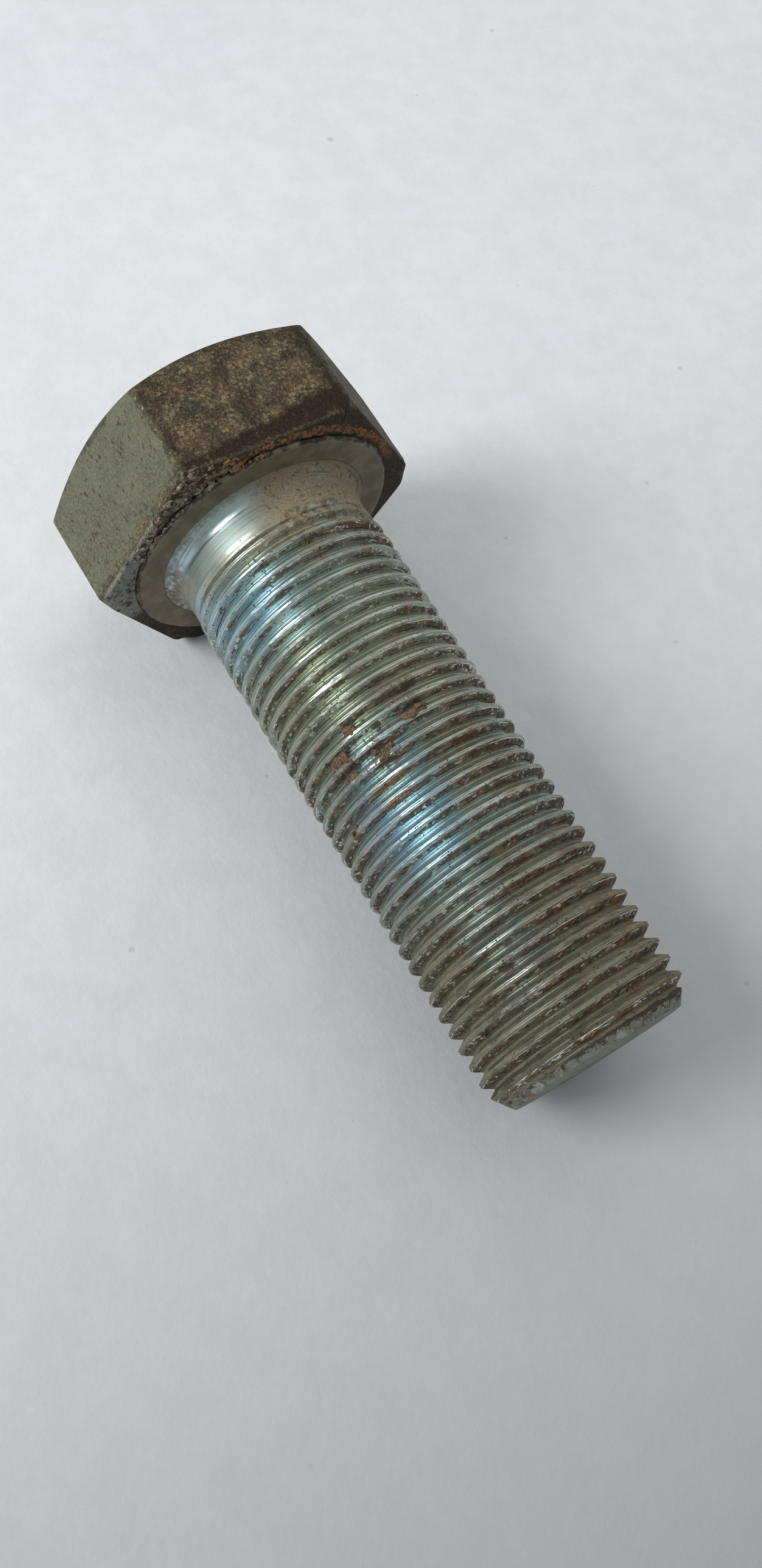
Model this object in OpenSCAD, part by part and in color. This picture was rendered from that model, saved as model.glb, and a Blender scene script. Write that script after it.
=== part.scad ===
// Hex head screw, threaded to the head, in a fine right-hand metric thread: M24 x 2 x 70.
// It lies on one flat of its head. The axis runs along X, with the point at +X.
// The origin is the centre of the bearing face under the head, and +Z is the up-facing flat.

/* [Head] */
// Width across the head's flats
across_flats = 36; // [34:0.5:38]
// Height of the head, from its top to the bearing face
head_height = 15; // [12:0.1:18]
// Diameter of the flat circle left on top of the head inside its chamfer
crown_d = 34.2; // [30:0.1:35.5]
// Angle of the head's chamfers, measured from its top face
chamfer_angle = 30; // [15:1:40]
// Diameter at which the corners begin to be broken on the bearing side
corner_break_d = 39.2; // [37:0.1:40]

/* [Washer face] */
// Diameter of the washer face where it meets the hexagon
washer_base_d = 33.2; // [31:0.1:33.8]
// Diameter of the flat bearing ring
washer_face_d = 32.4; // [30:0.1:33]
// Height of the washer face above the hexagon
washer_height = 0.6; // [0.3:0.05:0.8]

/* [Neck] */
// Diameter of the plain neck between the head and the thread
neck_d = 23.2; // [22.4:0.1:23.8]
// Radius of the fillet under the head
fillet_r = 1.6; // [0.8:0.1:2]
// Distance from the bearing face to the start of the thread
neck_length = 4; // [3:0.1:6]

/* [Thread] */
// Nominal diameter, over the crests
major_d = 24; // [23.5:0.05:24.5]
// Distance from one crest to the next
pitch = 2; // [1.5:0.25:3]
// Length over which the thread rises out of the neck to its full height
runout_length = 3.4; // [2:0.1:6]
// Position of the crest in one pitch, on the +Y side, from the bearing face
crest_phase = 1.53; // [0:0.01:2]
// Flat columns of facets round the thread
thread_columns = 36; // [24:4:40]

/* [Point] */
// Length from the bearing face to the end of the point
length = 70; // [50:5:100]
// Diameter of the flat end face
end_d = 20.2; // [18:0.1:21]
// Slope of the point's chamfer, measured from the axis
point_angle = 36; // [30:1:45]

/* [Hidden] */
$fn = 96;

// 60 degree metric profile: sharp height, then depth, crest flat and root flat
sharp_height = pitch * cos(30);
thread_depth = sharp_height * 17 / 24;
crest_flat = pitch / 8;
root_flat = pitch / 6;
major_r = major_d / 2;
minor_r = major_r - thread_depth;
neck_r = neck_d / 2;
end_r = end_d / 2;

corner_r = across_flats / 2 / cos(30);
underside = -washer_height;
fillet_base_r = neck_r + fillet_r;

// The point's plain cone begins where the chamfer has cut down to the thread's root.
point_start = length - (minor_r - end_r) / tan(point_angle);

// Corners of one thread profile along the axis, measured from the middle of its crest
PROFILE = [-crest_flat / 2, crest_flat / 2, pitch / 2 - root_flat / 2, pitch / 2 + root_flat / 2];
CORNERS = len(PROFILE);

// The rows of corners overrun both ends by up to two pitches, and are squeezed into a narrow plain
// band there, so that the helix closes on flat ends.
end_band = 0.3;
overrun = 2 * pitch;
first_crest = crest_phase + pitch * (floor((neck_length - crest_phase) / pitch) - 1) - pitch / 4;
turns = ceil((point_start - first_crest) / pitch) + 1;
rows = turns * CORNERS;

function clamp(v, low, high) = max(low, min(high, v));

// Axial place of a row of corners, before and after the squeeze at the ends
function raw_x(column, row) =
    first_crest + pitch * (floor(row / CORNERS) + column / thread_columns) + PROFILE[row % CORNERS];
function squeeze(x) =
    x < neck_length + end_band
        ? neck_length + end_band * (x - neck_length + overrun) / (overrun + end_band)
    : x > point_start - end_band
        ? point_start - end_band * (point_start + overrun - x) / (overrun + end_band)
    : x;

// Share of the full thread height reached at x, from 0 on the neck to 1
function rise(x) = clamp((x - neck_length - end_band) / runout_length, 0, 1);

// Outer surface that bounds the thread: the neck, the crests and the point's chamfer
function outer_r(x) =
    min(neck_r + (major_r - neck_r) * rise(x), end_r + (length - x) * tan(point_angle));
function root_r(x) = neck_r + (minor_r - neck_r) * rise(x);
function plain(x) = x < neck_length + end_band || x > point_start - end_band;
function thread_r(x, row) =
    row % CORNERS < 2 || plain(x) ? outer_r(x) : min(outer_r(x), root_r(x));

function ring_point(column, x, r) =
    let (a = 360 * column / thread_columns + 90)
    [r * cos(a), r * sin(a), x];

// One column of points from the neck to the point, closed by the two end rings
function column_points(column) = [
    ring_point(column, neck_length, neck_r),
    for (row = [0 : rows - 1])
        let (x = squeeze(raw_x(column, row)))
        ring_point(column, x, thread_r(x, row)),
    ring_point(column, point_start, minor_r)
];

function quad(a, b, c, d) = [[a, b, c], [a, c, d]];
function index(column, level) = column * (rows + 2) + level;

// Faces between neighbouring columns, then the join where the helix has advanced by one pitch
function thread_faces() =
    let (
        last = thread_columns - 1,
        between = [
            for (c = [0 : last - 1], k = [0 : rows])
                each quad(index(c, k), index(c, k + 1), index(c + 1, k + 1), index(c + 1, k))
        ],
        join = [
            for (k = [1 : rows - CORNERS - 1])
                each quad(index(last, k), index(last, k + 1),
                          index(0, k + CORNERS + 1), index(0, k + CORNERS))
        ],
        low_fan = [for (k = [1 : CORNERS]) [index(last, 1), index(0, k + 1), index(0, k)]],
        high_fan = [
            for (k = [rows - CORNERS : rows - 1])
                [index(last, k), index(last, k + 1), index(0, rows)]
        ],
        low_ring = quad(index(last, 0), index(last, 1), index(0, 1), index(0, 0)),
        high_ring = quad(index(last, rows), index(last, rows + 1), index(0, rows + 1), index(0, rows)),
        caps = [
            [for (c = [0 : last]) index(c, 0)],
            [for (c = [last : -1 : 0]) index(c, rows + 1)]
        ]
    )
    concat(between, join, low_fan, high_fan, low_ring, high_ring, caps);

// Turns a shape built along Z so that it lies along X.
module along_x() {
    rotate([0, 90, 0]) children();
}

// Hexagonal prism cut by a cone on its top and by a slight one at the corners of its bearing side
module hex_head() {
    top = -head_height;
    reach = corner_r + 1;
    color("darkseagreen") along_x() intersection() {
        translate([0, 0, top]) rotate(30) cylinder(r = corner_r, h = head_height + underside, $fn = 6);
        rotate_extrude() polygon([
            [0, top],
            [crown_d / 2, top],
            [reach, top + (reach - crown_d / 2) * tan(chamfer_angle)],
            [reach, underside - (reach - corner_break_d / 2) * tan(chamfer_angle)],
            [corner_break_d / 2, underside],
            [0, underside]
        ]);
    }
}

// Raised bearing ring under the head, round the base of the neck's fillet
module washer_face() {
    color("dimgray") along_x() difference() {
        translate([0, 0, underside])
            cylinder(d1 = washer_base_d, d2 = washer_face_d, h = washer_height);
        translate([0, 0, underside - 1]) cylinder(r = fillet_base_r, h = washer_height + 2);
    }
}

// Plain neck, with the fillet that spreads it onto the head
module neck() {
    color("tan") along_x() rotate_extrude() union() {
        translate([0, underside]) square([fillet_base_r, washer_height]);
        square([neck_r, neck_length]);
        difference() {
            square([fillet_base_r, fillet_r]);
            translate([fillet_base_r, fillet_r]) circle(r = fillet_r);
        }
    }
}

// Right-hand helical thread, from its run-out at the neck to where the chamfer meets its root
module threaded_shank() {
    color("lightsteelblue") along_x() polyhedron(
        points = [for (c = [0 : thread_columns - 1]) each column_points(c)],
        faces = thread_faces()
    );
}

// Plain cone at the end of the point
module chamfered_point() {
    color("silver") along_x() translate([0, 0, point_start])
        cylinder(r1 = minor_r, r2 = end_r, h = length - point_start);
}

hex_head();
washer_face();
neck();
threaded_shank();
chamfered_point();
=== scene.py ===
import math

import bpy
import numpy as np
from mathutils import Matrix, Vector


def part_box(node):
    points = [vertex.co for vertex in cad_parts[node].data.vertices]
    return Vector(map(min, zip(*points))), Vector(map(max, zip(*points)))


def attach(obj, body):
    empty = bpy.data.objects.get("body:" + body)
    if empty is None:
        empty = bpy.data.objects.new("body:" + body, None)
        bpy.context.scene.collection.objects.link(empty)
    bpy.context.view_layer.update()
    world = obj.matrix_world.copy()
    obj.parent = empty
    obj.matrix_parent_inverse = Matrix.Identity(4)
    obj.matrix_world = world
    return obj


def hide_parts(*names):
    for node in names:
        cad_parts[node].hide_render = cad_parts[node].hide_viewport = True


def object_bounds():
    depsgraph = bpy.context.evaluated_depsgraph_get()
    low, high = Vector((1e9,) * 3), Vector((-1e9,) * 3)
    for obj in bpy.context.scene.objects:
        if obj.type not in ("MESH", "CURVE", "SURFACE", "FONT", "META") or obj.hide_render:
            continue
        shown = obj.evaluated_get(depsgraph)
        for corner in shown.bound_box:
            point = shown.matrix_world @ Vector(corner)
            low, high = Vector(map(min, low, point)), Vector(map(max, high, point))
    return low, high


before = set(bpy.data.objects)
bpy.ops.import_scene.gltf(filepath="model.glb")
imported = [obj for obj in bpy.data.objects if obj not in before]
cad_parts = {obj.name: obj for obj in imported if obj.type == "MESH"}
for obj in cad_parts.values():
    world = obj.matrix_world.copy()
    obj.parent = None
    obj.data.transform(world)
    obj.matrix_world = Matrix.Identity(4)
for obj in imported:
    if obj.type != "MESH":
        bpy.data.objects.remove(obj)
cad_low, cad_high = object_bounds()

MM = 0.001

# The bolt's sizes in millimetres, along X from the bearing face
PITCH = 2.0
MAJOR_R = 12.0
CREST_PHASE = 1.53
CREST_WIDTH = 0.40
ROOT_WIDTH = 0.20
NECK_R = 11.6
FILLET_R = 1.6
END_R = 10.1
POINT_SLOPE = math.tan(math.radians(36))
RUNOUT = 3.4
HEAD_TOP = -15.0
UNDERSIDE = -0.6
APOTHEM = 18.0
CROWN_R = 17.1
CROWN_SLOPE = math.tan(math.radians(30))
CORNER_BREAK_R = 19.6
WASHER_BASE_R = 16.6
WASHER_FACE_R = 16.2

NECK_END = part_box("neck")[1][0] / MM
POINT_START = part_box("chamfered_point")[0][0] / MM
LENGTH = cad_high[0] / MM
FLANK = (PITCH - CREST_WIDTH - ROOT_WIDTH) / 2
ROOT_R = MAJOR_R - FLANK / math.tan(math.radians(30))
DEPTH = MAJOR_R - ROOT_R

# How finely the round pieces are divided
COLUMNS = 540


# --- noise

def value_noise(points, seed):
    """Smooth random values from -1 to 1 at points on a lattice of unit cells."""
    cell = np.floor(points).astype(np.int64)
    f = points - cell
    f = f * f * (3 - 2 * f)
    total = np.zeros(len(points))
    for corner in range(8):
        step = np.array([corner & 1, corner >> 1 & 1, corner >> 2 & 1])
        c = (cell + step).astype(np.uint32)
        # a usual integer hash, with large odd multipliers
        h = c[:, 0] * np.uint32(374761393) + c[:, 1] * np.uint32(668265263)
        h = h + c[:, 2] * np.uint32(2246822519) + np.uint32(seed * 3266489917 % 2**32)
        h = (h ^ (h >> np.uint32(13))) * np.uint32(1274126177)
        h = h ^ (h >> np.uint32(16))
        weight = np.prod(np.where(step, f, 1 - f), axis=1)
        total += weight * (h / 2**31 - 1)
    return total


def fractal(points, size, seed, octaves=3):
    """Sum of noises, the largest of the given size in millimetres, each next one half as large."""
    apart = 17.3
    out = np.zeros(len(points))
    for k in range(octaves):
        out += value_noise(points * 2**k / size + apart * k, seed + k) / 2**k
    return out / (2 - 2 ** (1 - octaves))


def smoothstep(low, high, v):
    t = np.clip((v - low) / (high - low), 0, 1)
    return t * t * (3 - 2 * t)


# --- meshes

def add_mesh(name, points, faces):
    """A smooth-shaded mesh object from points in millimetres."""
    mesh = bpy.data.meshes.new(name)
    mesh.from_pydata((np.asarray(points) * MM).tolist(), [], faces)
    mesh.update()
    mesh.shade_smooth()
    obj = bpy.data.objects.new(name, mesh)
    bpy.context.scene.collection.objects.link(obj)
    return obj


def tube_faces(columns, rows, shift=0):
    """Quads of a tube whose last column is joined to column 0, shift rows further on.

    The first and last rows are closed rings, and fans of triangles fill what the shift leaves
    open beside them. With no shift all rows are rings.
    """
    def at(c, k):
        return c * rows + k

    def strip(c, d, places, moved=0):
        return [(at(c, k), at(c, k + 1), at(d, k + moved + 1), at(d, k + moved)) for k in places]

    last, top = columns - 1, rows - 1
    faces = []
    for c in range(last):
        faces += strip(c, c + 1, range(top))
    if not shift:
        return faces + strip(last, 0, range(top))
    faces += strip(last, 0, [0])
    faces += [(at(last, 1), at(0, k + 1), at(0, k)) for k in range(1, shift + 1)]
    faces += strip(last, 0, range(1, top - 1 - shift), shift)
    faces += [(at(last, k), at(last, k + 1), at(0, top - 1)) for k in range(top - 1 - shift, top - 1)]
    return faces + strip(last, 0, [top - 1])


def ring_caps(points, columns, rows):
    """Flat caps on the first and last rings, on points of their own so that their rims stay sharp."""
    first = points[[c * rows for c in range(columns)]]
    end = points[[c * rows + rows - 1 for c in range(columns)]]
    base = len(points)
    faces = [tuple(range(base, base + columns)),
             tuple(range(base + 2 * columns - 1, base + columns - 1, -1))]
    return np.vstack([points, first, end]), faces


def around(x, r, angles):
    """Points at distance r from the axis, for arrays of shape (columns, rows)."""
    a = np.broadcast_to(angles[:, None], x.shape)
    return np.stack([x, r * np.cos(a), r * np.sin(a)], axis=-1).reshape(-1, 3)


def soft_least(a, b, soft, pivot):
    """The smaller of two arrays near pivot, with the corner between them rounded over soft."""
    return -soft * np.log(np.exp(-(a - pivot) / soft) + np.exp(-(b - pivot) / soft)) + pivot


# --- thread

# Rounding of the profile's corners, in millimetres
CREST_ROUND = 0.07
ROOT_ROUND = 0.10

# Where the profile has a row of points, as distances from the middle of a crest towards the
# middle of a root: close together at the crest and at the root, and far apart on the flank
ROW_PLACES = (0.0, 0.05, 0.10, 0.15, 0.20, 0.27, 0.38, 0.53, 0.68, 0.78, 0.85, 0.91, 0.96)

# The plain rings at both ends of the thread, into which the turns past the ends are squeezed
END_BAND = 0.3
OVERRUN = 2 * PITCH


def profile_height(d):
    """Height above the root at distance d along the axis from the middle of the crest."""
    flank = np.clip((PITCH / 2 - ROOT_WIDTH / 2 - d) / FLANK * DEPTH, -9, 9)
    h = -CREST_ROUND * np.log(np.exp(-flank / CREST_ROUND) + np.exp(-DEPTH / CREST_ROUND))
    return ROOT_ROUND * np.log(1 + np.exp(h / ROOT_ROUND))


def thread_grid(angles):
    """Places along X, across each turn and along the helix, and the number of rows in a turn."""
    half = np.array(ROW_PLACES)
    offsets = np.sort(np.concatenate([-half[:0:-1], half, [PITCH / 2]]))
    first_turn = math.floor((NECK_END - CREST_PHASE) / PITCH) - 1
    first = CREST_PHASE + PITCH * first_turn - PITCH / 4
    turns = math.ceil((POINT_START - first) / PITCH) + 1
    row_x = (PITCH * np.arange(turns)[:, None] + offsets[None, :]).ravel()
    raw = first + row_x[None, :] + PITCH * angles[:, None] / (2 * np.pi)
    across = np.tile(offsets, turns)[None, :] + 0 * raw
    turned = 2 * np.pi * np.repeat(np.arange(turns), len(offsets))
    along = MAJOR_R * (angles[:, None] + turned[None, :])
    low = NECK_END + END_BAND * (raw - NECK_END + OVERRUN) / (OVERRUN + END_BAND)
    high = POINT_START - END_BAND * (POINT_START + OVERRUN - raw) / (OVERRUN + END_BAND)
    x = np.where(raw < NECK_END + END_BAND, low, np.where(raw > POINT_START - END_BAND, high, raw))

    def with_ends(values, start, end):
        """The same rows with a ring at each end."""
        ring = np.ones((len(angles), 1))
        return np.concatenate([start * ring, values, end * ring], axis=1)

    return with_ends(x, NECK_END, POINT_START), with_ends(across, 0, 0), with_ends(along, 0, 0), len(offsets)


def crest_wear(across, along):
    """How much lower worn crests are: the lap left by rolling, its torn lips and the knocks along it."""
    shape = across.shape
    helix = np.stack([across, along / 3, np.zeros_like(along)], axis=-1).reshape(-1, 3)
    lap_width, wander_by = 0.055, 0.06
    wander = fractal(helix, 1.6, 5, 2).reshape(shape) * wander_by
    lap_depth = 0.05 + 0.05 * fractal(helix, 0.9, 7, 2).reshape(shape)
    lap = np.exp(-((across - wander) / lap_width) ** 2) * lap_depth
    near_crest = smoothstep(0.34, 0.12, np.abs(across))
    torn = np.clip(fractal(helix, 0.30, 3, 3).reshape(shape), -0.7, 0.3) * 0.075 * near_crest
    knocks = np.clip(fractal(helix, 2.4, 13, 2).reshape(shape) - 0.42, 0, 1) * 0.5 * near_crest
    return lap - torn + knocks


def build_thread():
    angles = 2 * np.pi * np.arange(COLUMNS) / COLUMNS
    x, across, along, per_turn = thread_grid(angles)
    rise = np.clip((x - NECK_END - END_BAND) / RUNOUT, 0, 1)
    cone = END_R + (LENGTH - x) * POINT_SLOPE
    crest = NECK_R + (MAJOR_R - NECK_R) * rise
    root = NECK_R + (ROOT_R - NECK_R) * rise
    r = root + (crest - root) * profile_height(np.abs(across)) / DEPTH
    r = r - crest_wear(across, along) * rise

    chips = smoothstep(0.1, 0.5, fractal(around(x, r, angles), 2.2, 41).reshape(x.shape))
    r = soft_least(r, cone - 0.10 * chips, soft=0.03, pivot=11)
    r = np.minimum(r, np.minimum(MAJOR_R, cone))
    plain = (x < NECK_END + END_BAND) | (x > POINT_START - END_BAND)
    waves = fractal(around(x, r, angles), 4.0, 11).reshape(x.shape) * 0.012 - 0.008
    r = np.where(plain, np.minimum(NECK_R, cone), r + waves)
    rows = x.shape[1]
    points, caps = ring_caps(around(x, r, angles), COLUMNS, rows)
    return add_mesh("threaded_shank_detail", points, tube_faces(COLUMNS, rows, per_turn) + caps)


# --- plain round pieces

def lathe_grid(outline, wobble, seed):
    """Points round the axis from an outline of (x, r) points, uneven by wobble between its ends."""
    line = np.array(outline)
    angles = 2 * np.pi * np.arange(COLUMNS) / COLUMNS
    x = np.tile(line[:, 0], (COLUMNS, 1))
    r = np.tile(line[:, 1], (COLUMNS, 1))
    shift = fractal(around(x, r, angles), 3.0, seed) * wobble
    inner = np.ones(len(line))
    inner[[0, -1]] = 0
    return around(x, r + shift.reshape(x.shape) * inner, angles)


def build_lathe(name, outline, wobble, seed):
    """A turned piece with flat ends."""
    rows = len(outline)
    points, caps = ring_caps(lathe_grid(outline, wobble, seed), COLUMNS, rows)
    return add_mesh(name, points, tube_faces(COLUMNS, rows) + caps)


def build_ring(name, outline, wobble, seed):
    """A turned ring, whose outline is closed from its last point to its first."""
    keep = len(outline)
    points = lathe_grid(outline + outline[:1], wobble, seed)
    points = points.reshape(COLUMNS, keep + 1, 3)[:, :keep].reshape(-1, 3)
    faces = []
    for c in range(COLUMNS):
        here, there = c * keep, (c + 1) % COLUMNS * keep
        faces += [(here + k, here + (k + 1) % keep, there + (k + 1) % keep, there + k) for k in range(keep)]
    return add_mesh(name, points, faces)


def build_neck():
    arc = [(FILLET_R - FILLET_R * math.cos(a), NECK_R + FILLET_R - FILLET_R * math.sin(a))
           for a in np.radians(np.linspace(0, 90, 25))]
    plain = [(x, NECK_R) for x in np.linspace(FILLET_R, NECK_END, 14)[1:]]
    start = [(UNDERSIDE, NECK_R + FILLET_R)]
    return build_lathe("neck_detail", start + arc + plain, wobble=0.02, seed=21)


def build_point():
    cone = [(x, END_R + (LENGTH - x) * POINT_SLOPE) for x in np.linspace(POINT_START, LENGTH - 0.12, 8)]
    rim = [(LENGTH - 0.04, END_R + 0.015), (LENGTH, END_R - 0.10)]
    face = [(LENGTH, r) for r in np.linspace(END_R - 0.3, 0.4, 24)]
    return build_lathe("chamfered_point_detail", cone + rim + face, wobble=0.015, seed=23)


def build_washer():
    inner = NECK_R + FILLET_R
    top = [(0, r) for r in np.linspace(inner, WASHER_FACE_R - 0.12, 14)]
    middle_r = (WASHER_FACE_R + WASHER_BASE_R) / 2
    rim = [(-0.02, WASHER_FACE_R - 0.03), (-0.09, WASHER_FACE_R + 0.04), (-0.3, middle_r + 0.03),
           (UNDERSIDE, WASHER_BASE_R), (UNDERSIDE, inner)]
    return build_ring("washer_face_detail", top + rim, wobble=0.03, seed=25)


# --- head

# Rounding of the head's edges, in millimetres
SIDE_EDGE_R = 0.55
TOP_ROUND = 0.35
BOTTOM_ROUND = 0.3

# Wear of the corners by the bearing edge: angle round the axis, about how deep, spread in degrees
CORNER_WEAR = ((0, 0.5, 3.4), (-120, 0.5, 3.0), (120, 0.2, 2.4), (-60, 0.3, 2.6), (60, 0.3, 2.4))


def hexagon_outline(edge_radius, per_flat, per_corner):
    """Outline points of the hexagon, with the six edges between its sides rounded."""
    def towards(a):
        return np.array([math.cos(a), math.sin(a)])

    centre_r = (APOTHEM - edge_radius) / math.cos(math.radians(30))
    out = []
    for k in range(6):
        corner, following = math.radians(60 * k), math.radians(60 * k + 60)
        arc = corner + np.radians(np.linspace(-30, 30, per_corner))
        out += [centre_r * towards(corner) + edge_radius * towards(a) for a in arc]
        start = out[-1]
        end = centre_r * towards(following) + edge_radius * towards(following - math.radians(30))
        out += [start + (end - start) * t for t in np.linspace(0, 1, per_flat + 2)[1:-1]]
    return np.array(out)


def bezier(a, b, c, steps):
    t = np.linspace(0, 1, steps)[:, None, None]
    return (1 - t) ** 2 * a + 2 * t * (1 - t) * b + t**2 * c


def head_rows(radius):
    """(x, r) rows from the middle of the top face, down the sides and in to the neck."""
    rows = []

    def row(x, r):
        rows.append(np.stack([np.broadcast_to(x, radius.shape), r], axis=-1))

    def crown(r):
        return HEAD_TOP + (r - CROWN_R) * CROWN_SLOPE

    def underside(r):
        return UNDERSIDE - np.maximum(r - CORNER_BREAK_R, 0) * CROWN_SLOPE

    for r in np.linspace(0.3, CROWN_R - 0.25, 20):
        row(HEAD_TOP, np.full(len(radius), r))
    slope_end = radius - TOP_ROUND
    for t in np.linspace(0, 1, 7):
        r = CROWN_R + (slope_end - CROWN_R) * t
        row(crown(r) + 0.03 * (t == 0), r)
    crown_edge = HEAD_TOP + np.maximum(radius - CROWN_R, 0) * CROWN_SLOPE
    low = crown_edge + TOP_ROUND
    corners = (crown(slope_end), slope_end), (crown_edge, radius), (low, radius)
    rows.extend(list(bezier(*(np.stack(point, axis=-1) for point in corners), 6))[1:])
    high = underside(radius) - BOTTOM_ROUND
    for t in np.linspace(0, 1, 34)[1:]:
        row(low + (high - low) * t, radius)
    inner = radius - BOTTOM_ROUND
    corners = (high, radius), (underside(radius), radius), (underside(inner), inner)
    rows.extend(list(bezier(*(np.stack(point, axis=-1) for point in corners), 6))[1:])
    for t in np.linspace(0, 1, 9)[1:]:
        r = inner + (WASHER_BASE_R - 0.4 - inner) * t
        row(underside(r), r)
    row(UNDERSIDE, np.full(len(radius), NECK_R))
    return rows


def build_head():
    outline = hexagon_outline(SIDE_EDGE_R, per_flat=44, per_corner=12)
    radius = np.hypot(*outline.T)
    unit = outline / radius[:, None]
    grid = np.stack(head_rows(radius), axis=1)
    x, r = grid[..., 0], grid[..., 1]
    columns, count = x.shape
    points = np.stack([x, r * unit[:, :1], r * unit[:, 1:]], axis=-1).reshape(-1, 3)
    # dents, outwards from the axis on the sides and along it on the top face
    side = smoothstep(0.0, 0.4, np.minimum(x - HEAD_TOP, UNDERSIDE - x)).ravel()
    bump = fractal(points, 2.6, 31, 4) * 0.035 + fractal(points, 14, 37, 2) * 0.05
    on_top = x.ravel() < HEAD_TOP / 2
    direction = np.stack([(1 - side) * np.where(on_top, -1, 0.0),
                          side * np.repeat(unit[:, 0], count), side * np.repeat(unit[:, 1], count)], axis=-1)
    highest, corner_r = 0.02, 20
    points = points + direction * np.minimum(bump, highest)[:, None]
    angle = np.degrees(np.arctan2(points[:, 2], points[:, 1]))
    for corner, wear, spread in CORNER_WEAR:
        away = (angle - corner + 180) % 360 - 180
        by_bearing = smoothstep(-2.6, -0.9, points[:, 0]) * np.exp(-(away / spread) ** 2)
        points[:, 1:] *= (1 - wear * by_bearing / corner_r)[:, None]
    points, caps = ring_caps(points, columns, count)
    return add_mesh("hex_head_detail", points, tube_faces(columns, count) + caps)


# --- dried mud and crust

def unit_ball(rings, segments):
    polar = np.pi * np.arange(1, rings) / rings
    turn = 2 * np.pi * np.arange(segments) / segments
    ball = [[0, 0, 1.0]]
    ball += [[np.sin(p) * np.cos(t), np.sin(p) * np.sin(t), np.cos(p)] for p in polar for t in turn]
    ball += [[0, 0, -1.0]]
    return np.array(ball)


def ball_faces(base, rings, segments):
    """Faces of a ball whose first point is number base."""
    faces = []
    count = rings - 1
    for s in range(segments):
        n = (s + 1) % segments
        faces.append((base, base + 1 + s, base + 1 + n))
        for p in range(count - 1):
            first = base + 1 + p * segments
            faces.append((first + s, first + segments + s, first + segments + n, first + n))
        last = base + 1 + (count - 1) * segments
        faces.append((last + n, last + s, base + 1 + count * segments))
    return faces


def build_lumps(name, lumps, seed):
    """One mesh of closed, uneven lumps, each given by its centre, half sizes, facing and tangent."""
    rng = np.random.default_rng(seed)
    rings, segments = 14, 22
    plain_ball = unit_ball(rings, segments)
    points, faces = [], []
    for centre, sizes, out, tangent in lumps:
        out = np.array(out) / np.linalg.norm(out)
        side = np.cross(out, tangent)
        side /= np.linalg.norm(side)
        forward = np.cross(side, out)
        spot = plain_ball + rng.uniform(0, 40, 3)
        swell = 1 + 0.75 * fractal(spot, 0.8, seed, 3) + 0.30 * fractal(spot, 0.25, seed + 4, 2)
        ball = plain_ball * swell[:, None] * np.array(sizes)
        faces += ball_faces(len(points), rings, segments)
        points += list(np.array(centre) + ball @ np.array([forward, side, out]))
    return add_mesh(name, points, faces)


def on_thread(x, degrees_round, r, sizes):
    a = math.radians(degrees_round)
    out = (0, math.cos(a), math.sin(a))
    return ((x, r * out[1], r * out[2]), sizes, out, (0.05, -math.sin(a), math.cos(a)))


def build_mud():
    """The crumbs of dried mud caught in the grooves of the thread, at their places on the photo."""
    lumps = [
        on_thread(31.2, 141.5, 11.75, (1.15, 0.75, 0.32)),
        on_thread(31.7, 136.5, 11.65, (0.75, 0.55, 0.42)),
        on_thread(33.4, 139.5, 11.60, (0.95, 0.65, 0.36)),
        on_thread(33.6, 119.5, 11.72, (1.2, 0.5, 0.30)),
        on_thread(33.1, 114.5, 11.62, (0.65, 0.42, 0.36)),
        on_thread(31.3, 95.5, 11.70, (1.5, 0.50, 0.34)),
        on_thread(31.0, 90.5, 11.6, (0.8, 0.45, 0.45)),
        on_thread(29.2, 127.5, 11.7, (0.8, 0.55, 0.40)),
        on_thread(37.5, 156.0, 11.7, (0.55, 0.3, 0.22)),
    ]
    # small grains scattered round them
    rng = np.random.default_rng(5)
    for _ in range(26):
        x, turn = rng.normal(32.3, 2.3), rng.normal(122, 17)
        size = rng.uniform(0.10, 0.28)
        lumps.append(on_thread(x, turn, 11.72, (size * 1.4, size, size * 0.8)))
    return build_lumps("mud_crumbs", lumps, 61)


def hexagon_edge(degrees_round):
    """Distance from the axis to the side of the hexagon."""
    return APOTHEM / math.cos(math.radians((degrees_round % 60) - 30))


def margin_lump(rng, degrees_round, r, size, x=UNDERSIDE):
    a = math.radians(degrees_round)
    tangent = (0, -math.sin(a), math.cos(a))
    sizes = (size * rng.uniform(1.0, 1.9), size, size * rng.uniform(0.3, 0.65))
    return ((x, r * math.cos(a), r * math.sin(a)), sizes, (1, 0.1 * math.cos(a), 0.1 * math.sin(a)), tangent)


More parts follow.
